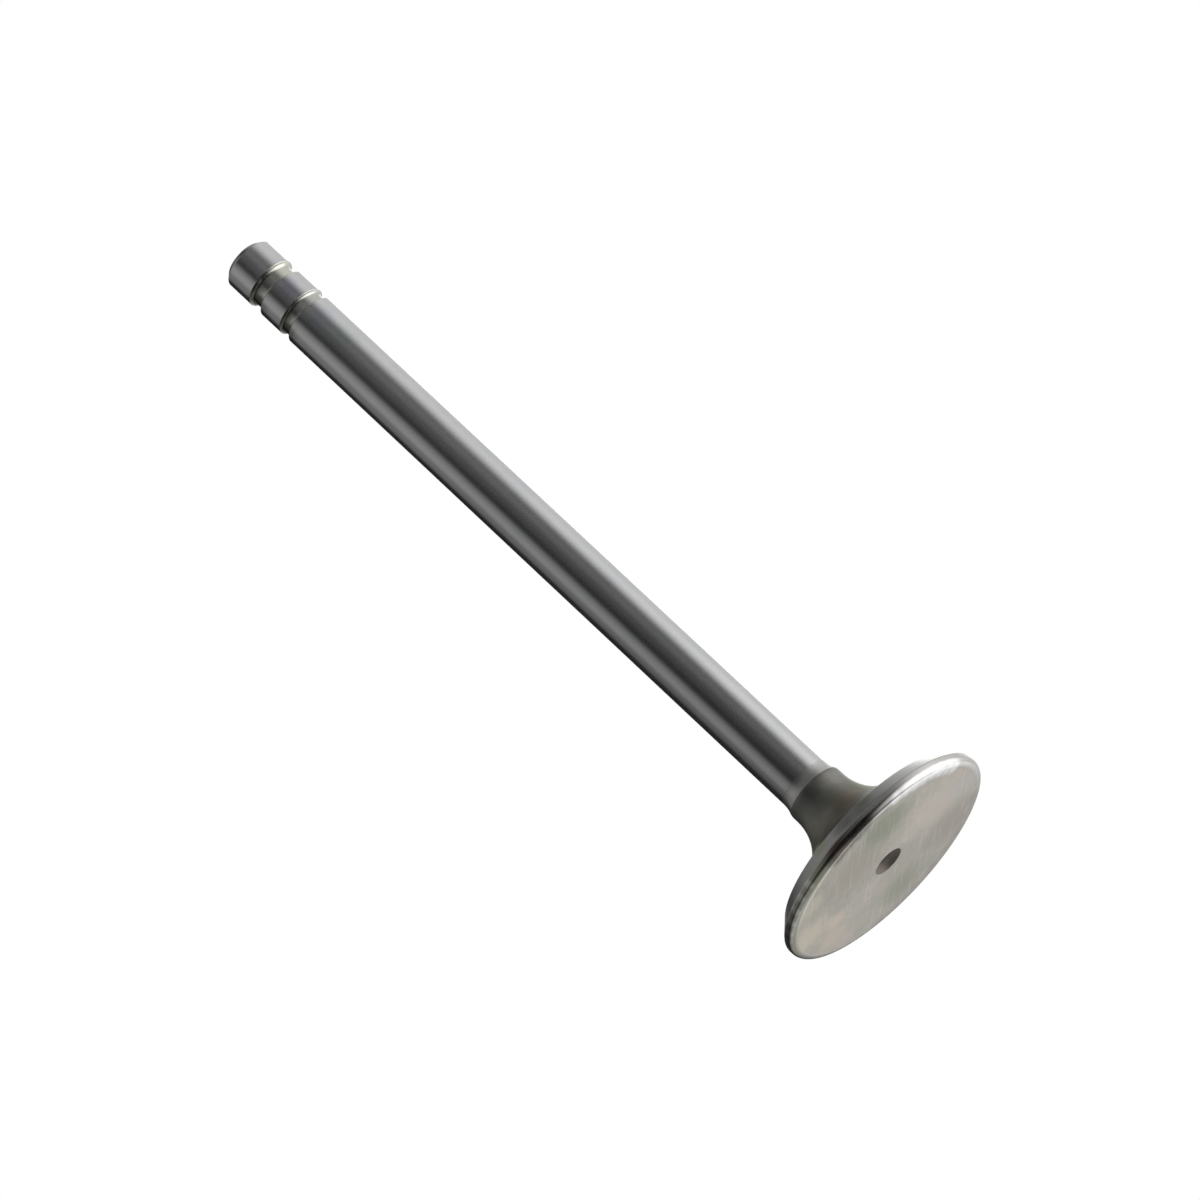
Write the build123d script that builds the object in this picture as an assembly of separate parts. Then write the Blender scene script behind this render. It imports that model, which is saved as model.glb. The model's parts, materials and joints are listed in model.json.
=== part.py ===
from build123d import *

import os
from math import cos, radians, sin, sqrt, tan

# An engine poppet valve, forged and turned in one piece. It stands on its head: the flat combustion face
# lies on z = 0, its centre is the origin, and the stem runs up +Z to the tip. Millimetres and degrees.

# Stem
overall_length = 153.1  # combustion face to tip
stem_diameter = 9.5
tip_chamfer = 0.9

# Two grooves under the tip with rounded corners, placed by the distance from the tip to each one's middle
keeper_groove_from_tip = 7.5
keeper_groove_width = 2.7
keeper_groove_depth = 0.75
keeper_groove_corner_radius = 0.6
seal_groove_from_tip = 14.7
seal_groove_width = 2.2
seal_groove_depth = 0.6
seal_groove_corner_radius = 0.48

# Neck, where the ground stem swells into the turned underhead
runout_rise = 0.33  # radial rise of the grinding run-out
runout_radius = 5.7
shoulder_rise = 0.21  # radial rise of the round above the neck
shoulder_radius = 2.4
neck_length = 0.75  # straight part between the shoulder and the fillet
neck_fillet_radius = 9.2
underhead_angle = 20.7  # from the plane of the face

# Head
head_diameter = 42.2
margin_height = 1.8  # face to the lower edge of the seat
face_edge_radius = 0.8
seat_angle = 45.0  # from the plane of the face
seat_width = 3.4  # along the slope
seat_edge_radius = 0.5  # where the margin turns into the seat
dimple_diameter = 5.4
dimple_depth = 1.2

# Worked out from the sizes above
stem_radius = stem_diameter / 2
head_radius = head_diameter / 2
ground_end_radius = stem_radius + runout_rise
neck_radius = ground_end_radius + shoulder_rise
seat_back_radius = head_radius - seat_width * cos(radians(seat_angle))
seat_back_height = margin_height + seat_width * sin(radians(seat_angle))


def arc_run(radius, rise):
    """Length along the axis of an arc that leaves it in parallel and ends at this rise."""
    return sqrt(radius**2 - (radius - rise) ** 2)


def round_corner(section, corner, radius):
    """Rounds the corner of a section that lies at this point."""
    fillet(section.vertices().sort_by_distance(corner)[0], radius)


def half_section():
    """The valve's outline, from the face's centre out round the head and up to the tip's centre."""
    fillet_end_radius = neck_radius + neck_fillet_radius * (1 - sin(radians(underhead_angle)))
    underhead_rise = (seat_back_radius - fillet_end_radius) * tan(radians(underhead_angle))
    fillet_end_height = seat_back_height + underhead_rise
    neck_bottom = fillet_end_height + neck_fillet_radius * cos(radians(underhead_angle))
    neck_top = neck_bottom + neck_length
    ground_end = neck_top + arc_run(shoulder_radius, shoulder_rise)
    stem_bottom = ground_end + arc_run(runout_radius, runout_rise)

    with BuildSketch(Plane.XZ) as section:
        with BuildLine():
            Polyline(
                (0, 0),
                (head_radius, 0),
                (head_radius, margin_height),
                (seat_back_radius, seat_back_height),
                (fillet_end_radius, fillet_end_height),
            )
            RadiusArc((fillet_end_radius, fillet_end_height), (neck_radius, neck_bottom), neck_fillet_radius)
            Line((neck_radius, neck_bottom), (neck_radius, neck_top))
            RadiusArc((neck_radius, neck_top), (ground_end_radius, ground_end), -shoulder_radius)
            RadiusArc((ground_end_radius, ground_end), (stem_radius, stem_bottom), runout_radius)
            Polyline(
                (stem_radius, stem_bottom),
                (stem_radius, overall_length - tip_chamfer),
                (stem_radius - tip_chamfer, overall_length),
                (0, overall_length),
                (0, 0),
            )
        make_face()
        round_corner(section, (head_radius, 0), face_edge_radius)
        round_corner(section, (head_radius, margin_height), seat_edge_radius)
    return section.sketch


def stem_groove(from_tip, width, depth, corner_radius):
    """The ring that a tool with rounded corners cuts out of the stem."""
    with BuildSketch(Plane.XZ) as tool:
        with Locations((stem_radius, overall_length - from_tip)):
            RectangleRounded(2 * depth, width, corner_radius)
    return revolve(tool.sketch, Axis.Z)


def face_dimple():
    """The shallow round dimple in the middle of the combustion face."""
    ball_radius = ((dimple_diameter / 2) ** 2 + dimple_depth**2) / (2 * dimple_depth)
    return Pos(0, 0, dimple_depth - ball_radius) * Sphere(ball_radius)


def engine_valve():
    valve = revolve(half_section(), Axis.Z)
    valve -= stem_groove(
        keeper_groove_from_tip, keeper_groove_width, keeper_groove_depth, keeper_groove_corner_radius
    )
    valve -= stem_groove(seal_groove_from_tip, seal_groove_width, seal_groove_depth, seal_groove_corner_radius)
    valve -= face_dimple()
    valve.label = "engine_valve"
    return valve


os.makedirs("parts", exist_ok=True)
export_step(engine_valve(), "parts/engine_valve.step")
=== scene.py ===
import json
from math import acos, atan2, ceil, cos, pi, radians, sin, sqrt, tan

import bmesh
import bpy
from mathutils import Matrix, Vector


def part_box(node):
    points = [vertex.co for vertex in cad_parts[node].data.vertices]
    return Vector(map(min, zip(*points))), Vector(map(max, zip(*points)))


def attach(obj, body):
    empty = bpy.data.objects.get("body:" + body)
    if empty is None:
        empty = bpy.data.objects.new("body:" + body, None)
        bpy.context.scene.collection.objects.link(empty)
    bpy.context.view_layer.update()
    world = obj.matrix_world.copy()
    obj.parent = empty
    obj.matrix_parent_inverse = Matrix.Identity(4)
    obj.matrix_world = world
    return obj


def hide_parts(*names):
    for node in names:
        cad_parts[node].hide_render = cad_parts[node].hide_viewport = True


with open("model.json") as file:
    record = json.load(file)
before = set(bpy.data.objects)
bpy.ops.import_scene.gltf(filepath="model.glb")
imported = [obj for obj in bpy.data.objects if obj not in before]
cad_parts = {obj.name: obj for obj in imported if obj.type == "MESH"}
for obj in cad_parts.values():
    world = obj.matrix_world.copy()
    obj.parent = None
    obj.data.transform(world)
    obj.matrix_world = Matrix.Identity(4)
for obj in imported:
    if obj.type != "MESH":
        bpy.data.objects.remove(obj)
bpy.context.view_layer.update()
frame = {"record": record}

# An engine poppet valve standing on its head. The lathe below turns the same section as the CAD node,
# with a worn rim, broken edges and a finish for each zone. Lengths are in metres, in the CAD model's frame.

NODE = "engine_valve"
MM = 0.001


def mount_size(name, dimension):
    """A length of one of the record's mounts, in metres."""
    for mount in frame["record"]["mounts"]:
        if mount["name"] == name:
            return mount["dims"][dimension] * MM
    raise ValueError(name)


# Sizes that the frame gives
NODE_LOW, NODE_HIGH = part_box(NODE)
LENGTH = NODE_HIGH.z
HEAD_RADIUS = NODE_HIGH.x
STEM_RADIUS = mount_size("stem", "r_mm")

# Stem
TIP_CHAMFER = 0.9 * MM
KEEPER_GROOVE = {"from_tip": 7.5 * MM, "width": 2.7 * MM, "depth": 0.75 * MM, "corner": 0.6 * MM}
SEAL_GROOVE = {"from_tip": 14.7 * MM, "width": 2.2 * MM, "depth": 0.6 * MM, "corner": 0.48 * MM}

# Neck
RUNOUT_RISE = 0.33 * MM
RUNOUT_RADIUS = 5.7 * MM
SHOULDER_RISE = 0.21 * MM
SHOULDER_RADIUS = 2.4 * MM
NECK_LENGTH = 0.75 * MM
NECK_FILLET = 9.2 * MM
UNDERHEAD_ANGLE = radians(20.7)

# Head
MARGIN_HEIGHT = 1.8 * MM
FACE_EDGE_RADIUS = 0.8 * MM
SEAT_EDGE_RADIUS = 0.5 * MM
SEAT_ANGLE = radians(45.0)
SEAT_WIDTH = 3.4 * MM
DIMPLE_RADIUS = 2.7 * MM
DIMPLE_DEPTH = 1.2 * MM

# Worn rim: the face falls away over a crowned band before its rounded edge
CROWN_WIDTH = 0.6 * MM
CROWN_SLOPE = radians(12.0)

# Broken edges
SEAT_BACK_ROUND = 0.15 * MM
TIP_ROUND = 0.25 * MM
TIP_END_ROUND = 0.10 * MM
GROOVE_LIP = 0.10 * MM
DIMPLE_LIP = 0.15 * MM

# Worked out from the sizes above
GROUND_END_RADIUS = STEM_RADIUS + RUNOUT_RISE
NECK_RADIUS = GROUND_END_RADIUS + SHOULDER_RISE
SEAT_BACK_RADIUS = HEAD_RADIUS - SEAT_WIDTH * cos(SEAT_ANGLE)
SEAT_BACK_HEIGHT = MARGIN_HEIGHT + SEAT_WIDTH * sin(SEAT_ANGLE)

# Fineness of the lathe
TURN_STEPS = 256
ARC_STEP = radians(6.0)
FEWEST_ARC_STEPS = 3
SAME_PLACE = MM / 1e4  # points that lie closer than this are one
ON_AXIS = MM / 1e3  # a radius below this is a single point
LARGE_FACES_FIRST = 100  # how far large faces decide the shading; 50 is evenly


# ---------------------------------------------------------------- section

def arc_run(radius, rise):
    """Length along the axis of an arc that leaves it in parallel and ends at this rise."""
    return sqrt(radius**2 - (radius - rise) ** 2)


def arc(centre, radius, start, end):
    """Points of an arc, from one angle to the other; angle 0 points outwards and 90 to the tip."""
    steps = max(FEWEST_ARC_STEPS, ceil(abs(end - start) / ARC_STEP))
    angles = [start + (end - start) * i / steps for i in range(steps + 1)]
    return [(centre[0] + radius * cos(a), centre[1] + radius * sin(a)) for a in angles]


def broken_edge(before, corner, after, radius):
    """The corner between two straight lines, rounded off."""
    corner = Vector(corner)
    back = (Vector(before) - corner).normalized()
    ahead = (Vector(after) - corner).normalized()
    half = back.angle(ahead) / 2
    centre = corner + (back + ahead).normalized() * radius / sin(half)
    first = corner + back * radius / tan(half) - centre
    last = corner + ahead * radius / tan(half) - centre
    turn = first.angle_signed(last)
    start = atan2(first.y, first.x)
    return arc(centre, radius, start, start - turn)


def dish(half_width, depth, lip):
    """Half of a round dish with a rounded lip, from its bottom out, as (along, above) the surface."""
    radius = (half_width**2 + depth**2) / (2 * depth)
    lip_along = sqrt((radius + lip) ** 2 - (radius - depth + lip) ** 2)
    slope = atan2(lip_along, radius - depth + lip)
    bottom = arc((0, radius - depth), radius, -pi / 2, slope - pi / 2)
    return bottom + arc((lip_along, -lip), lip, slope + pi / 2, pi / 2)[1:]


def groove(from_tip, width, depth, corner):
    """A groove's section with rounded corners and lips, from its head side to its tip side."""
    middle = LENGTH - from_tip
    wall = width / 2
    lower_corner = arc((wall - corner, corner - depth), corner, -pi / 2, 0)
    half = lower_corner + arc((wall + GROOVE_LIP, -GROOVE_LIP), GROOVE_LIP, pi, pi / 2)
    low_side = [(STEM_RADIUS + above, middle - along) for along, above in reversed(half)]
    return low_side + [(STEM_RADIUS + above, middle + along) for along, above in half]


def worn_rim():
    """The crowned band round the face, and the arc that turns it into the margin."""
    crown_radius = CROWN_WIDTH / sin(CROWN_SLOPE)
    crown_depth = crown_radius * (1 - cos(CROWN_SLOPE))
    crown_start = HEAD_RADIUS - FACE_EDGE_RADIUS - CROWN_WIDTH
    edge_radius = FACE_EDGE_RADIUS / (1 - sin(CROWN_SLOPE))
    edge_centre = (HEAD_RADIUS - edge_radius, crown_depth + edge_radius * cos(CROWN_SLOPE))
    crown = arc((crown_start, crown_radius), crown_radius, -pi / 2, CROWN_SLOPE - pi / 2)
    return crown + arc(edge_centre, edge_radius, CROWN_SLOPE - pi / 2, 0)


def head_section():
    """Dimple, face, margin with its worn edges, and seat, each as (finish, points)."""
    rim = (HEAD_RADIUS, 0)
    margin_high = (HEAD_RADIUS, MARGIN_HEIGHT)
    seat_back = (SEAT_BACK_RADIUS, SEAT_BACK_HEIGHT)
    underhead = (SEAT_BACK_RADIUS - MM, SEAT_BACK_HEIGHT + MM * tan(UNDERHEAD_ANGLE))
    dimple = [(along, -above) for along, above in dish(DIMPLE_RADIUS, DIMPLE_DEPTH, DIMPLE_LIP)]
    face_edge = worn_rim()
    seat_edge = broken_edge(rim, margin_high, seat_back, SEAT_EDGE_RADIUS)
    return [
        ("dimple", dimple),
        ("face", face_edge[:1]),
        ("rim", face_edge),
        ("margin", seat_edge),
        ("seat", broken_edge(margin_high, seat_back, underhead, SEAT_BACK_ROUND)),
    ]


def neck_section():
    """Underhead cone, fillet, neck and shoulder, then the grinding run-out onto the parallel stem."""
    fillet_end_radius = NECK_RADIUS + NECK_FILLET * (1 - sin(UNDERHEAD_ANGLE))
    underhead_rise = (SEAT_BACK_RADIUS - fillet_end_radius) * tan(UNDERHEAD_ANGLE)
    fillet_centre_height = SEAT_BACK_HEIGHT + underhead_rise + NECK_FILLET * cos(UNDERHEAD_ANGLE)
    neck_top = fillet_centre_height + NECK_LENGTH
    ground_end = neck_top + arc_run(SHOULDER_RADIUS, SHOULDER_RISE)
    stem_start = ground_end + arc_run(RUNOUT_RADIUS, RUNOUT_RISE)

    fillet_centre = (NECK_RADIUS + NECK_FILLET, fillet_centre_height)
    fillet = arc(fillet_centre, NECK_FILLET, 3 * pi / 2 - UNDERHEAD_ANGLE, pi)
    shoulder_centre = (NECK_RADIUS - SHOULDER_RADIUS, neck_top)
    shoulder = arc(shoulder_centre, SHOULDER_RADIUS, 0, acos(1 - SHOULDER_RISE / SHOULDER_RADIUS))
    runout_centre = (STEM_RADIUS + RUNOUT_RADIUS, stem_start)
    runout = arc(runout_centre, RUNOUT_RADIUS, pi + acos(1 - RUNOUT_RISE / RUNOUT_RADIUS), pi)
    scale_end = len(shoulder) // 2 + 1  # the neck's scale reaches halfway up the shoulder
    return [("neck", fillet + shoulder[:scale_end]), ("runout", shoulder[scale_end:] + runout)]


def stem_section():
    """The ground stem with its two grooves, and the chamfered tip."""
    below = (STEM_RADIUS, LENGTH / 2)
    tip_edge = (STEM_RADIUS, LENGTH - TIP_CHAMFER)
    end_edge = (STEM_RADIUS - TIP_CHAMFER, LENGTH)
    end_centre = (0, LENGTH)
    seal_groove = groove(**SEAL_GROOVE)
    keeper_groove = groove(**KEEPER_GROOVE)
    return [
        ("stem", seal_groove[:1]),
        ("groove", seal_groove),
        ("stem", keeper_groove[:1]),
        ("groove", keeper_groove),
        ("stem", broken_edge(below, tip_edge, end_edge, TIP_ROUND)),
        ("tip", [*broken_edge(tip_edge, end_edge, end_centre, TIP_END_ROUND), end_centre]),
    ]


# ---------------------------------------------------------------- lathe

def lathe(name, stretches, finishes):
    """Turns the section about Z; every stretch of it gets the material slot of its finish."""
    shape = bmesh.new()
    previous, slots = None, list(finishes)
    for finish, points in stretches:
        for radius, height in points:
            here = ring(shape, radius, height)
            if previous:
                join_rings(shape, previous, here, slots.index(finish))
            previous = here
    bmesh.ops.remove_doubles(shape, verts=shape.verts, dist=SAME_PLACE)
    bmesh.ops.recalc_face_normals(shape, faces=shape.faces)
    for face in shape.faces:
        face.smooth = True
    mesh = bpy.data.meshes.new(name)
    shape.to_mesh(mesh)
    shape.free()
    for finish in slots:
        mesh.materials.append(finishes[finish])
    piece = bpy.data.objects.new(name, mesh)
    bpy.context.collection.objects.link(piece)
    shading = piece.modifiers.new("even_shading", "WEIGHTED_NORMAL")
    shading.weight = LARGE_FACES_FIRST
    return piece


def ring(shape, radius, height):
    """One turn of vertices, or a single one on the axis."""
    if radius < ON_AXIS:
        return [shape.verts.new((0, 0, height))]
    turns = [2 * pi * i / TURN_STEPS for i in range(TURN_STEPS)]
    return [shape.verts.new((radius * cos(a), radius * sin(a), height)) for a in turns]


def join_rings(shape, low, high, slot):
    """The band of faces between two rings."""
    for i in range(TURN_STEPS):
        j = (i + 1) % TURN_STEPS
        corners = [low[i % len(low)], low[j % len(low)], high[j % len(high)], high[i % len(high)]]
        band = shape.faces.new(list(dict.fromkeys(corners)))
        band.material_index = slot


# ---------------------------------------------------------------- materials

# Lay: the fine marks that a tool leaves round the axis
LAY_SHARE = 0.25  # of the marks in the colour's pattern; the rest is mottling
LAY_TURN = 0.25  # turns from the tangent to the direction of the gloss
MOTTLE_TEXTURE = {"detail": 8.0, "roughness": 0.85}
MOTTLE_LOW = 0.38  # the pattern's level that gets the first colour
MOTTLE_SPAN = 0.24  # from there to the level of the last one

# Stains and patches of painted light and shade: their edges are made ragged, and they cover and end at these
# multiples of their size
RAGGED_TEXTURE = {"scale": 400.0, "detail": 5.0, "roughness": 0.6}
RAGGED_REACH = 1.2
STAIN_FULL = 0.9
STAIN_GONE = 1.9

# Scratches: the texture's scale along, across and above them, and the levels between which they appear
SCRATCH_SCALE = (90.0, 1800.0, 0.0)
SCRATCH_START = 0.56
SCRATCH_FULL = 0.72
SCRATCH_STRENGTH = 0.45

# Heat scale on the neck
NECK_LOW = 4.2 * MM
NECK_HIGH = 17.2 * MM
NECK_ROUGHNESS = (0.45, 0.55)
CLOUD_TEXTURE = {"scale": 220.0, "detail": 5.0, "roughness": 0.6}
GRAIN_SCALE = 2600.0
GRAIN_STRENGTH = 0.6
GRAIN_HEIGHT = 0.01 * MM
BLACK = (0.0, 0.0, 0.0)


def node(tree, kind, inputs=None, **settings):
    """A shader node with its settings, and its inputs given as values or as sockets to link."""
    made = tree.nodes.new(kind)
    for key, value in settings.items():
        setattr(made, key, value)
    for key, value in (inputs or {}).items():
        if isinstance(value, bpy.types.NodeSocket):
            tree.links.new(value, made.inputs[key])
        else:
            made.inputs[key].default_value = value
    return made


def around_axis(tree, around, across):
    """Coordinates for marks that run round the axis: they change slowly round it and fast across it."""
    place = node(tree, "ShaderNodeTexCoord").outputs["Object"]
    parts = node(tree, "ShaderNodeSeparateXYZ", {"Vector": place})
    flat = node(tree, "ShaderNodeCombineXYZ", {"X": parts.outputs["X"], "Y": parts.outputs["Y"]})
    length = node(tree, "ShaderNodeVectorMath", {0: flat.outputs[0]}, operation="LENGTH")
    turn = node(tree, "ShaderNodeVectorMath", {0: flat.outputs[0]}, operation="NORMALIZE")
    circle = node(tree, "ShaderNodeVectorMath", {0: turn.outputs[0], "Scale": around}, operation="SCALE")
    run = node(tree, "ShaderNodeMath", {0: length.outputs["Value"], 1: parts.outputs["Z"]}, operation="ADD")
    lift = node(tree, "ShaderNodeMath", {0: run.outputs[0], 1: across}, operation="MULTIPLY")
    rise = node(tree, "ShaderNodeCombineXYZ", {"Z": lift.outputs[0]})
    total = node(tree, "ShaderNodeVectorMath", {0: circle.outputs[0], 1: rise.outputs[0]}, operation="ADD")
    return total.outputs[0]


def ramp(tree, factor, stops):
    """A colour ramp with (position, colour) stops."""
    made = node(tree, "ShaderNodeValToRGB", {"Fac": factor})
    band = made.color_ramp
    while len(band.elements) < len(stops):
        band.elements.new(1.0)
    for element, (position, colour) in zip(band.elements, stops):
        element.position = position
        element.color = (*colour, 1.0)
    return made.outputs["Color"]


def spread(tree, factor, low, high):
    """Maps a 0 to 1 factor onto a range."""
    inputs = {"Value": factor, "To Min": low, "To Max": high}
    return node(tree, "ShaderNodeMapRange", inputs).outputs["Result"]


def noise(tree, vector, scale, detail=3.0, roughness=0.55):
    """A noise texture, as a 0 to 1 factor."""
    inputs = {"Vector": vector, "Scale": scale, "Detail": detail, "Roughness": roughness}
    return node(tree, "ShaderNodeTexNoise", inputs).outputs["Fac"]


def blend(tree, share, first, second):
    """Mixes two colours, each a socket or a tuple."""
    ends = [end if isinstance(end, bpy.types.NodeSocket) else (*end, 1.0) for end in (first, second)]
    return node(tree, "ShaderNodeMix", {0: share, 6: ends[0], 7: ends[1]}, data_type="RGBA").outputs[2]


def steel(name):
    """A bare metal material with its node tree and shader, and the object's coordinates."""
    material = bpy.data.materials.new(name)
    material.use_nodes = True
    tree = material.node_tree
    shader = tree.nodes["Principled BSDF"]
    shader.inputs["Metallic"].default_value = 1.0
    place = node(tree, "ShaderNodeTexCoord").outputs["Object"]
    return material, tree, shader, place


def add_stains_and_painted_light(tree, place, colour, stains_and_painted_light):
    """Mixes in ragged patches of other colours, each round a point given in degrees and millimetres."""
    ragged = noise(tree, place, **RAGGED_TEXTURE)
    for angle, radius, height, size, tint, strength in stains_and_painted_light:
        at = (radius * sin(radians(angle)) * MM, -radius * cos(radians(angle)) * MM, height * MM)
        away = node(tree, "ShaderNodeVectorMath", {0: place, 1: at}, operation="DISTANCE").outputs["Value"]
        inputs = {0: ragged, 1: RAGGED_REACH * size * MM, 2: away}
        edge = node(tree, "ShaderNodeMath", inputs, operation="MULTIPLY_ADD").outputs[0]
        limits = {"Value": edge, "From Min": STAIN_FULL * size * MM, "From Max": STAIN_GONE * size * MM,
                  "To Min": strength, "To Max": 0.0}
        share = node(tree, "ShaderNodeMapRange", limits, interpolation_type="SMOOTHSTEP").outputs["Result"]
        colour = blend(tree, share, colour, tint)
    return colour


def scratched(tree, place, colour, heading, tint):
    """Mixes in fine straight scratches that run along a heading, in degrees from +X."""
    inputs = {"Vector": place, "Angle": -radians(heading)}
    turned = node(tree, "ShaderNodeVectorRotate", inputs, rotation_type="Z_AXIS").outputs[0]
    drawn = node(tree, "ShaderNodeVectorMath", {0: turned, 1: SCRATCH_SCALE}, operation="MULTIPLY")
    limits = {"Value": noise(tree, drawn.outputs[0], 1.0), "From Min": SCRATCH_START,
              "From Max": SCRATCH_FULL, "To Max": SCRATCH_STRENGTH}
    share = node(tree, "ShaderNodeMapRange", limits).outputs["Result"]
    return blend(tree, share, colour, tint)


def machined(name, colours, roughness, lay, lay_height, mottle, anisotropy, stains_and_painted_light=(), scratches=None):
    """Steel cut or ground by a tool that goes round the axis.

    The colours run from the mottling's low levels to its high ones. Lay is the marks' scale round the axis
    and across it.
    """
    material, tree, shader, place = steel(name)
    patches = noise(tree, place, mottle, **MOTTLE_TEXTURE)
    marks = noise(tree, around_axis(tree, *lay), 1.0)
    mixed = node(tree, "ShaderNodeMix", {"Factor": LAY_SHARE, "A": patches, "B": marks}, data_type="FLOAT")
    pattern = mixed.outputs["Result"]
    stops = [MOTTLE_LOW + MOTTLE_SPAN * i / (len(colours) - 1) for i in range(len(colours))]
    colour = ramp(tree, pattern, list(zip(stops, colours)))
    colour = add_stains_and_painted_light(tree, place, colour, stains_and_painted_light)
    if scratches:
        colour = scratched(tree, place, colour, *scratches)
    bump = node(tree, "ShaderNodeBump", {"Height": marks, "Strength": 1.0, "Distance": lay_height})
    tangent = node(tree, "ShaderNodeTangent", direction_type="RADIAL", axis="Z")
    shader.inputs["Anisotropic"].default_value = anisotropy
    shader.inputs["Anisotropic Rotation"].default_value = LAY_TURN
    tree.links.new(colour, shader.inputs["Base Color"])
    tree.links.new(spread(tree, pattern, *roughness), shader.inputs["Roughness"])
    tree.links.new(bump.outputs["Normal"], shader.inputs["Normal"])
    tree.links.new(tangent.outputs["Tangent"], shader.inputs["Tangent"])
    return material


def chain(angles, *stain):
    """The same painted patch at several angles."""
    return [(angle, *stain) for angle in angles]


# ---------------------------------------------------------------- finishes

# A patch of stain or of painted light and shade is (angle, radius, height, size, colour, strength). The angle
# is in degrees from -Y towards +X, the lengths are in millimetres, and the strength is the share that it
# covers at its middle.

# Painted shade at the bottom of the dimple
DIMPLE_SHADE = [(0, 0, 1.2, 1.3, (0.045, 0.04, 0.035), 0.9)]
# Patches on the face, partly its own mottling and partly painted sheen: lighter towards +X and -X, darker
# towards -Y and +Y
FACE_MOTTLE_AND_SHEEN = [
    (15, 14, 0, 6.0, (0.28, 0.29, 0.225), 0.9),
    (-173, 13, 0, 5.0, (0.32, 0.325, 0.265), 0.9),
    (85, 12, 0, 7.0, (0.51, 0.46, 0.41), 0.9),
    (95, 18, 0, 4.0, (0.47, 0.445, 0.42), 0.8),
    (130, 15, 0, 6.0, (0.36, 0.33, 0.29), 0.8),
    (-28, 11, 0, 6.0, (0.39, 0.35, 0.30), 0.8),
]
LEFT_FACE_MOTTLE_AND_SHEEN = [  # on the face and the rim: lighter patches, partly mottling and partly painted sheen
    (-78, 18, 0, 5.0, (0.58, 0.53, 0.44), 0.9),
    (-48, 18.6, 0, 3.0, (0.54, 0.50, 0.41), 0.8),
    (-95, 12.5, 0, 2.5, (0.57, 0.49, 0.41), 0.9),
    (-110, 16, 0, 4.0, (0.52, 0.46, 0.39), 0.9),
]
# Painted shade round the dimple's mouth
SHADE_ROUND_THE_DIMPLE = [(0, 0, 0, 2.6, (0.20, 0.18, 0.16), 0.8)]
# Painted highlight on the rim between -Y and +X, painted shade on it at -Y, and lighter painted shade round
# +Y
RIM_HIGHLIGHT_AND_SHADE = [
    *chain(range(24, 68, 6), 19.8, 0, 1.4, (0.80, 0.79, 0.80), 0.8),
    *chain(range(-16, 8, 7), 20.3, 0, 1.9, (0.15, 0.145, 0.12), 0.9),
    *chain(range(120, 215, 12), 19.6, 0, 2.2, (0.34, 0.32, 0.29), 0.7),
]
MARGIN_STAINS_AND_HIGHLIGHT = [
    (-30, 21, 0.9, 5.0, (0.40, 0.40, 0.30), 0.8),
    (-10, 21, 0.9, 2.0, (0.36, 0.28, 0.24), 0.8),
    (-65, 21, 0.9, 7.0, (0.38, 0.38, 0.30), 0.7),
    # painted highlight: a light line along the margin on the -X side
    *chain(range(-80, -24, 8), 21.1, 1.1, 0.9, (0.72, 0.72, 0.69), 0.7),
]
SEAT_STAINS = [
    (-3, 19.8, 3.1, 2.2, (0.32, 0.32, 0.335), 0.8),
    (-60, 19.8, 3.1, 4.0, (0.52, 0.50, 0.46), 0.6),
    (12, 19.0, 4.0, 1.8, (0.50, 0.53, 0.38), 0.8),
    (-18, 19.0, 4.0, 1.8, (0.50, 0.52, 0.36), 0.8),
]
NECK_STAINS = [
    (20, 6.5, 9.5, 3.0, (0.28, 0.24, 0.185), 0.8),
    (-20, 5.4, 14.0, 3.0, (0.165, 0.175, 0.155), 0.8),
    (65, 6.5, 11.0, 3.0, (0.20, 0.215, 0.15), 0.7),
    (70, 5.4, 15.5, 2.5, (0.24, 0.24, 0.225), 0.7),
    (-60, 9.0, 7.5, 3.5, (0.20, 0.21, 0.15), 0.6),
]
# Painted shade on the grooves' floors and walls on the -X side, and a painted highlight on the keeper
# groove's floor on the +X side
GROOVE_SHADE_AND_HIGHLIGHT = [
    (-60, 4.4, 145.6, 2.3, (0.10, 0.095, 0.08), 0.95),
    (-60, 4.4, 138.4, 2.3, (0.10, 0.095, 0.08), 0.95),
    (-30, 4.6, 147.0, 1.5, (0.11, 0.105, 0.09), 0.95),
    (-65, 4.6, 147.0, 1.9, (0.09, 0.085, 0.07), 0.95),
    (-30, 4.6, 139.5, 1.5, (0.11, 0.105, 0.09), 0.95),
    (-65, 4.6, 139.5, 1.9, (0.09, 0.085, 0.07), 0.95),
    (50, 4.4, 145.6, 2.0, (0.58, 0.58, 0.48), 0.6),
]
STEM_TINTS_AND_SHADE = [
    # the first two are painted shade beside the grooves on the -X side; the rest are tints
    (-62, 4.75, 145.0, 2.2, (0.20, 0.19, 0.17), 0.8),
    (-62, 4.75, 137.6, 2.2, (0.20, 0.19, 0.17), 0.8),
    (15, 4.75, 142.0, 2.0, (0.46, 0.43, 0.54), 0.7),
    (20, 4.75, 134.0, 2.5, (0.42, 0.45, 0.51), 0.6),
    (15, 4.75, 130.0, 2.5, (0.42, 0.49, 0.46), 0.6),
]

# The heat scale's colours from the seat's back (0) to the shoulder (1), and what its clouds add to them
NECK_COLOURS = [
    # the first two stops also paint shade along the seat's back edge
    (0.0, (0.155, 0.14, 0.115)),
    (0.2, (0.14, 0.125, 0.10)),
    (0.3, (0.23, 0.215, 0.175)),
    (0.6, (0.21, 0.205, 0.185)),
    (0.9, (0.19, 0.19, 0.178)),
    (1.0, (0.14, 0.14, 0.13)),
]
NECK_CLOUDS = [(0.35, BLACK), (0.75, (0.13, 0.125, 0.105))]

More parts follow.
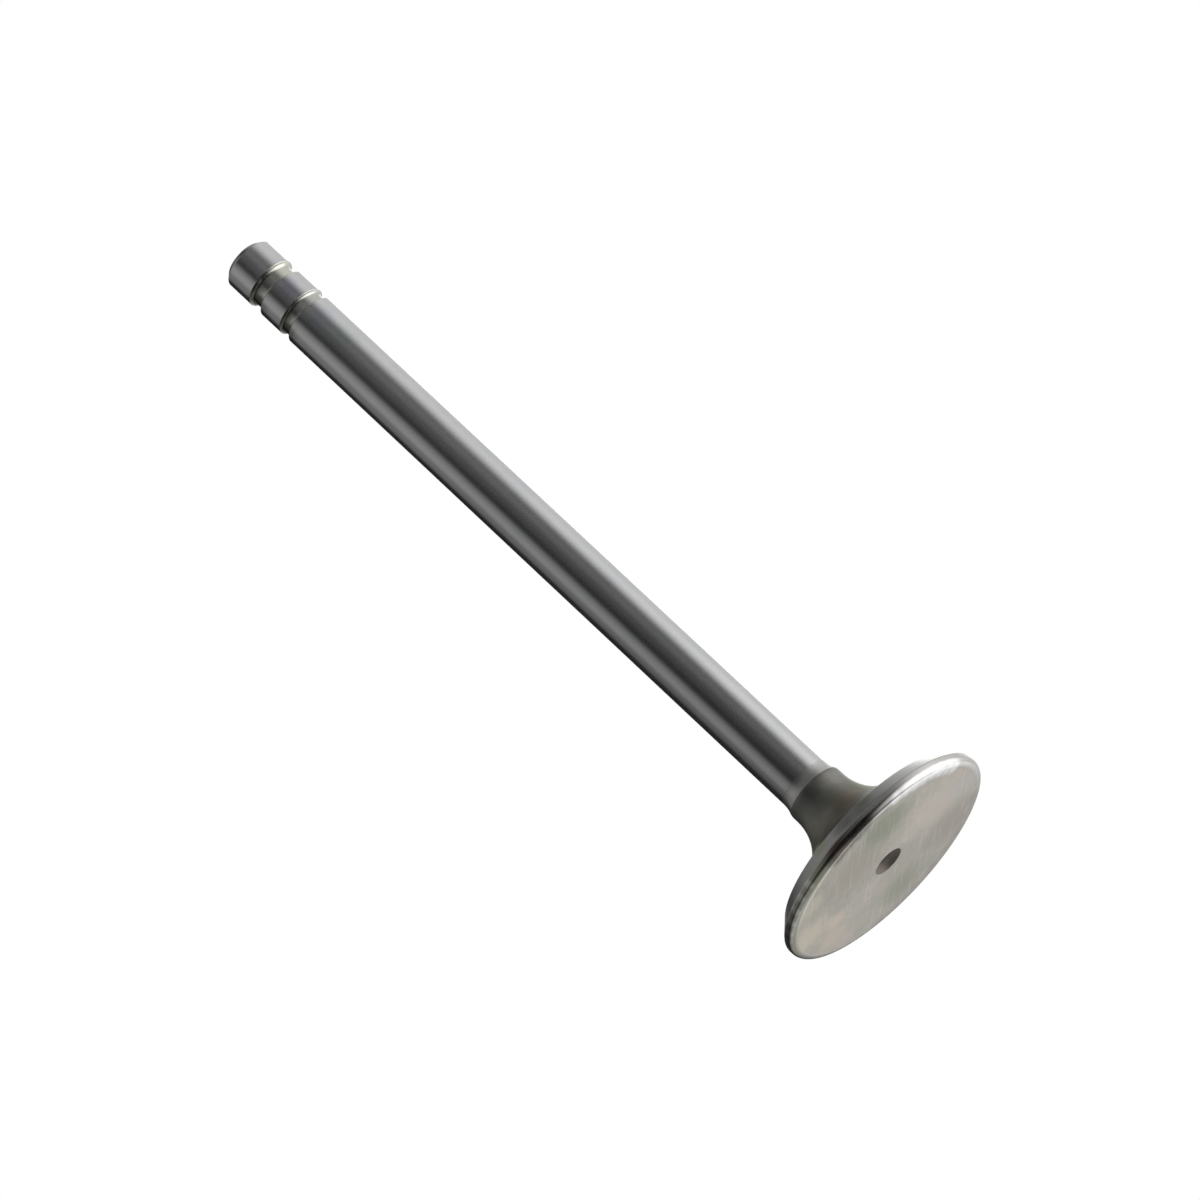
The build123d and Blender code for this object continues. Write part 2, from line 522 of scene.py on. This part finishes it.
# Heading of the face's scratches, and their colour
FACE_SCRATCHES = (115.0, (0.62, 0.60, 0.56))


def dimple_finish():
    """Rough, and dark with painted shade, darkest at its bottom."""
    return machined(
        "dimple_steel",
        # dark colours: painted shade in the recess
        colours=[(0.14, 0.125, 0.11), (0.20, 0.175, 0.155)],
        roughness=(0.55, 0.65),
        lay=(2.0, 3000.0),
        lay_height=0.005 * MM,
        mottle=900.0,
        anisotropy=0.0,
        stains_and_painted_light=DIMPLE_SHADE,
    )


def face_finish():
    """Turned flat, mottled and lightly scratched; its patches are partly painted sheen, and it takes the
    rim's painted highlight and shade and painted shade round the dimple.
    """
    return machined(
        "turned_face",
        colours=[(0.35, 0.36, 0.305), (0.425, 0.405, 0.36), (0.51, 0.455, 0.405)],
        roughness=(0.40, 0.44),
        lay=(1.5, 2500.0),
        lay_height=0.002 * MM,
        mottle=160.0,
        anisotropy=0.25,
        stains_and_painted_light=FACE_MOTTLE_AND_SHEEN + LEFT_FACE_MOTTLE_AND_SHEEN + SHADE_ROUND_THE_DIMPLE + RIM_HIGHLIGHT_AND_SHADE,
        scratches=FACE_SCRATCHES,
    )


def rim_finish():
    """Worn smooth, with a painted highlight and painted shade on stretches of it, and the face's and margin's
    patches.
    """
    return machined(
        "worn_rim",
        colours=[(0.42, 0.415, 0.39), (0.46, 0.45, 0.435), (0.50, 0.485, 0.48)],
        roughness=(0.24, 0.28),
        lay=(2.0, 1500.0),
        lay_height=0.0005 * MM,
        mottle=250.0,
        anisotropy=0.2,
        stains_and_painted_light=LEFT_FACE_MOTTLE_AND_SHEEN + RIM_HIGHLIGHT_AND_SHADE + MARGIN_STAINS_AND_HIGHLIGHT,
    )


def margin_finish():
    """Turned, a little duller than the rim, with olive stains and a painted highlight along its -X side."""
    return machined(
        "turned_margin",
        colours=[(0.46, 0.455, 0.43), (0.50, 0.49, 0.475), (0.55, 0.53, 0.525)],
        roughness=(0.32, 0.36),
        lay=(2.0, 1500.0),
        lay_height=0.0005 * MM,
        mottle=250.0,
        anisotropy=0.2,
        stains_and_painted_light=MARGIN_STAINS_AND_HIGHLIGHT,
    )


def seat_finish():
    """Ground bright."""
    return machined(
        "ground_seat",
        colours=[(0.555, 0.57, 0.53), (0.65, 0.65, 0.64)],
        roughness=(0.28, 0.33),
        lay=(2.0, 2000.0),
        lay_height=0.001 * MM,
        mottle=300.0,
        anisotropy=0.3,
        stains_and_painted_light=SEAT_STAINS,
    )


def neck_finish():
    """Heat scale on the fillet and underhead: grey by the stem, olive-brown by the head, with painted shade
    along the seat's back edge.
    """
    material, tree, shader, place = steel("neck_scale")
    clouds = noise(tree, place, **CLOUD_TEXTURE)
    grain = noise(tree, place, GRAIN_SCALE)
    height = node(tree, "ShaderNodeSeparateXYZ", {"Vector": place}).outputs["Z"]
    limits = {"Value": height, "From Min": NECK_LOW, "From Max": NECK_HIGH}
    along = node(tree, "ShaderNodeMapRange", limits).outputs["Result"]
    colour = ramp(tree, along, NECK_COLOURS)
    pale = ramp(tree, clouds, NECK_CLOUDS)
    colour = node(tree, "ShaderNodeVectorMath", {0: colour, 1: pale}, operation="ADD").outputs[0]
    colour = add_stains_and_painted_light(tree, place, colour, NECK_STAINS)
    heights = {"Height": grain, "Strength": GRAIN_STRENGTH, "Distance": GRAIN_HEIGHT}
    bump = node(tree, "ShaderNodeBump", heights)
    tree.links.new(colour, shader.inputs["Base Color"])
    tree.links.new(spread(tree, clouds, *NECK_ROUGHNESS), shader.inputs["Roughness"])
    tree.links.new(bump.outputs["Normal"], shader.inputs["Normal"])
    return material


def runout_finish():
    """Where the grinding of the stem runs out."""
    return machined(
        "ground_runout",
        colours=[(0.40, 0.40, 0.39), (0.48, 0.47, 0.46)],
        roughness=(0.36, 0.42),
        lay=(3.0, 2500.0),
        lay_height=0.002 * MM,
        mottle=400.0,
        anisotropy=0.5,
    )


def stem_finish():
    """Ground bright, with strong gloss along the stem, violet, blue and teal tints, and painted shade beside
    the grooves on the -X side.
    """
    return machined(
        "ground_stem",
        colours=[(0.47, 0.485, 0.50), (0.50, 0.50, 0.50), (0.53, 0.515, 0.52)],
        roughness=(0.25, 0.29),
        lay=(3.0, 2000.0),
        lay_height=0.0005 * MM,
        mottle=150.0,
        anisotropy=0.7,
        stains_and_painted_light=STEM_TINTS_AND_SHADE,
    )


def groove_finish():
    """Turned, with painted shade on the grooves' walls and floors on the -X side and a painted highlight on
    the keeper groove's floor on the +X side.
    """
    return machined(
        "turned_groove",
        colours=[(0.44, 0.445, 0.40), (0.52, 0.52, 0.50)],
        roughness=(0.24, 0.32),
        lay=(2.0, 3000.0),
        lay_height=0.001 * MM,
        mottle=400.0,
        anisotropy=0.4,
        stains_and_painted_light=GROOVE_SHADE_AND_HIGHLIGHT,
    )


def tip_finish():
    """The ground end and its chamfer."""
    return machined(
        "ground_tip",
        colours=[(0.50, 0.50, 0.50), (0.60, 0.60, 0.59)],
        roughness=(0.25, 0.38),
        lay=(1.5, 3500.0),
        lay_height=0.002 * MM,
        mottle=300.0,
        anisotropy=0.4,
    )


def finishes():
    """The material of each zone, in the order of the slots."""
    return {
        "dimple": dimple_finish(),
        "face": face_finish(),
        "rim": rim_finish(),
        "margin": margin_finish(),
        "seat": seat_finish(),
        "neck": neck_finish(),
        "runout": runout_finish(),
        "stem": stem_finish(),
        "groove": groove_finish(),
        "tip": tip_finish(),
    }


# ---------------------------------------------------------------- studio

MIDDLE = Vector((0, 0, LENGTH / 2))
WHITE = (1.0, 1.0, 1.0, 1.0)
WORLD_FILL = 0.5

# Floor: it fades from pale grey to white between these distances from the valve
FLOOR_RADIUS = 2.0
FLOOR_FADE_START = 0.25
FLOOR_FADE_END = 0.9
FLOOR_COLOUR = (0.82, 0.82, 0.81, 1.0)

# Lamps
LAMP_DISTANCE = 1.2
LAMP_SIZE = 0.6

# Dome that the metal mirrors
DOME_RADIUS = 2.0
DOME_SEGMENTS = 64
DOME_RINGS = 32
DOME_DIM = 0.02  # brightness between the lights
# The dome's lights, as (azimuth, elevation, full within this angle, gone at that one, brightness), in
# degrees and with the azimuth from -Y towards +X. In the main view the stem mirrors directions 21 degrees up,
# and the face those 21 degrees down at the back. Most are a fit of soft lights, rounded and merged.
STUDIO_LIGHTS = {
    "right wall": (120, 5, 35, 75, 0.85),
    "right table": (90, -30, 15, 55, 1.6),
    "back table": (170, -35, 10, 25, 0.9),
    "back wall": (170, 25, 5, 20, 1.6),
    "left wall": (-60, 30, 0, 30, 0.3),
    "left table": (-100, -45, 30, 50, 0.4),
    "left ceiling": (-90, 55, 30, 40, 0.3),
    "right corner": (45, 20, 10, 35, 0.12),
    "front ceiling": (15, 50, 5, 40, 0.2),
    "left corner": (-150, -30, 15, 35, 0.4),
}

# Camera: it aims beside the valve's middle, from below and rolled
CAMERA_DISTANCE = 1.23
CAMERA_BELOW = radians(20.93)  # how far it looks up
CAMERA_ROLL = radians(43.117)
CAMERA_RIGHT = 6.466 * MM
CAMERA_DOWN = 7.408 * MM
CAMERA_LENS = 227.5
CAMERA_SENSOR = 36.0


def aim(azimuth, elevation):
    """The unit vector of a direction; azimuth runs from -Y towards +X."""
    a, e = radians(azimuth), radians(elevation)
    return Vector((sin(a) * cos(e), -cos(a) * cos(e), sin(e)))


def empty_material(name):
    """A material without nodes, whose glow isn't sampled as a lamp."""
    material = bpy.data.materials.new(name)
    material.use_nodes = True
    material.cycles.emission_sampling = "NONE"
    material.node_tree.nodes.clear()
    return material, material.node_tree


def placed(name, shape, material):
    """The object of a finished shape."""
    mesh = bpy.data.meshes.new(name)
    shape.to_mesh(mesh)
    shape.free()
    mesh.materials.append(material)
    made = bpy.data.objects.new(name, mesh)
    bpy.context.collection.objects.link(made)
    return made


def reflected_lights():
    """Soft round lights on a dim ground, as they look from the dome's middle."""
    material, tree = empty_material("reflected_lights")
    place = node(tree, "ShaderNodeTexCoord").outputs["Object"]
    direction = node(tree, "ShaderNodeVectorMath", {0: place}, operation="NORMALIZE").outputs[0]
    total = DOME_DIM
    for azimuth, elevation, full, gone, level in STUDIO_LIGHTS.values():
        inputs = {0: direction, 1: aim(azimuth, elevation)}
        toward = node(tree, "ShaderNodeVectorMath", inputs, operation="DOT_PRODUCT").outputs["Value"]
        limits = {"Value": toward, "From Min": cos(radians(gone)), "From Max": cos(radians(full)),
                  "To Min": 0.0, "To Max": level}
        light = node(tree, "ShaderNodeMapRange", limits, interpolation_type="SMOOTHSTEP").outputs["Result"]
        total = node(tree, "ShaderNodeMath", {0: total, 1: light}, operation="ADD").outputs[0]
    glow = node(tree, "ShaderNodeEmission", {"Strength": total})
    output = node(tree, "ShaderNodeOutputMaterial")
    tree.links.new(glow.outputs[0], output.inputs["Surface"])
    return material


def reflection_dome():
    """What the metal mirrors: a dark studio with soft lights. Only glossy rays see it."""
    shape = bmesh.new()
    bmesh.ops.create_uvsphere(shape, u_segments=DOME_SEGMENTS, v_segments=DOME_RINGS, radius=DOME_RADIUS)
    dome = placed("reflection_dome", shape, reflected_lights())
    for ray in ("camera", "diffuse", "transmission", "volume_scatter", "shadow"):
        setattr(dome, "visible_" + ray, False)


def pale_floor():
    """Pale from above, white far off, and clear from below."""
    material, tree = empty_material("pale_floor")
    place = node(tree, "ShaderNodeTexCoord").outputs["Object"]
    away = node(tree, "ShaderNodeVectorMath", {0: place}, operation="LENGTH").outputs["Value"]
    limits = {"Value": away, "From Min": FLOOR_FADE_START, "From Max": FLOOR_FADE_END}
    fade = node(tree, "ShaderNodeMapRange", limits, interpolation_type="SMOOTHSTEP").outputs["Result"]
    pale = node(tree, "ShaderNodeBsdfDiffuse", {"Color": FLOOR_COLOUR}).outputs[0]
    white = node(tree, "ShaderNodeEmission", {"Strength": 1.0}).outputs[0]
    clear = node(tree, "ShaderNodeBsdfTransparent").outputs[0]
    top = node(tree, "ShaderNodeMixShader", {0: fade, 1: pale, 2: white}).outputs[0]
    below = node(tree, "ShaderNodeNewGeometry").outputs["Backfacing"]
    both = node(tree, "ShaderNodeMixShader", {0: below, 1: top, 2: clear}).outputs[0]
    output = node(tree, "ShaderNodeOutputMaterial")
    tree.links.new(both, output.inputs["Surface"])
    return material


def floor():
    """A round floor that is open under the face and faces up."""
    shape = bmesh.new()
    inner = ring(shape, HEAD_RADIUS - FACE_EDGE_RADIUS, 0)
    outer = ring(shape, FLOOR_RADIUS, 0)
    join_rings(shape, outer, inner, 0)
    bmesh.ops.recalc_face_normals(shape, faces=shape.faces)
    if next(iter(shape.faces)).normal.z < 0:
        bmesh.ops.reverse_faces(shape, faces=shape.faces)
    plane = placed("floor", shape, pale_floor())
    plane.visible_glossy = False


def white_world():
    """White where the camera, gloss or glass sees it, and a plain fill on the rest."""
    world = bpy.data.worlds.new("studio")
    bpy.context.scene.world = world
    world.use_nodes = True
    tree = world.node_tree
    tree.nodes.clear()
    path = node(tree, "ShaderNodeLightPath").outputs
    seen = path["Is Camera Ray"]
    for ray in ("Is Glossy Ray", "Is Transmission Ray"):
        seen = node(tree, "ShaderNodeMath", {0: seen, 1: path[ray]}, operation="MAXIMUM").outputs[0]
    limits = {"Value": seen, "To Min": WORLD_FILL, "To Max": 1.0}
    level = node(tree, "ShaderNodeMapRange", limits).outputs["Result"]
    sky = node(tree, "ShaderNodeBackground", {"Color": WHITE, "Strength": level})
    output = node(tree, "ShaderNodeOutputWorld")
    tree.links.new(sky.outputs[0], output.inputs["Surface"])


def lamp(name, azimuth, elevation, power):
    """A soft square lamp that looks at the valve's middle and isn't itself seen."""
    data = bpy.data.lights.new(name, "AREA")
    data.size = LAMP_SIZE
    data.energy = power
    made = bpy.data.objects.new(name, data)
    bpy.context.collection.objects.link(made)
    toward = aim(azimuth, elevation)
    made.location = MIDDLE + toward * LAMP_DISTANCE
    made.rotation_mode = "QUATERNION"
    made.rotation_quaternion = toward.to_track_quat("Z", "Y")
    made.visible_camera = False
    made.visible_glossy = False


def camera():
    """Looks up at the head from below, rolled so that the stem runs to the upper left."""
    forward = Vector((0, cos(CAMERA_BELOW), sin(CAMERA_BELOW)))
    along = Vector((0, sin(CAMERA_BELOW), -cos(CAMERA_BELOW)))
    across = Vector((1, 0, 0))
    right = along * cos(CAMERA_ROLL) + across * sin(CAMERA_ROLL)
    up = across * cos(CAMERA_ROLL) - along * sin(CAMERA_ROLL)
    place = MIDDLE + right * CAMERA_RIGHT - up * CAMERA_DOWN - forward * CAMERA_DISTANCE
    data = bpy.data.cameras.new("camera")
    data.lens = CAMERA_LENS
    data.sensor_width = CAMERA_SENSOR
    made = bpy.data.objects.new("camera", data)
    bpy.context.collection.objects.link(made)
    turn = Matrix((right, up, -forward)).transposed()
    made.matrix_world = Matrix.Translation(place) @ turn.to_4x4()
    bpy.context.scene.camera = made


# ---------------------------------------------------------------- scene

def valve():
    """The valve as one piece, in place of the CAD node."""
    stretches = [*head_section(), *neck_section(), *stem_section()]
    piece = lathe("valve", stretches, finishes())
    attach(piece, "root")
    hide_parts(NODE)


camera()
white_world()
floor()
reflection_dome()
lamp("key", azimuth=100.0, elevation=45.0, power=7.0)
lamp("fill", azimuth=-70.0, elevation=35.0, power=2.5)
valve()
bpy.context.scene.view_settings.view_transform = "Standard"
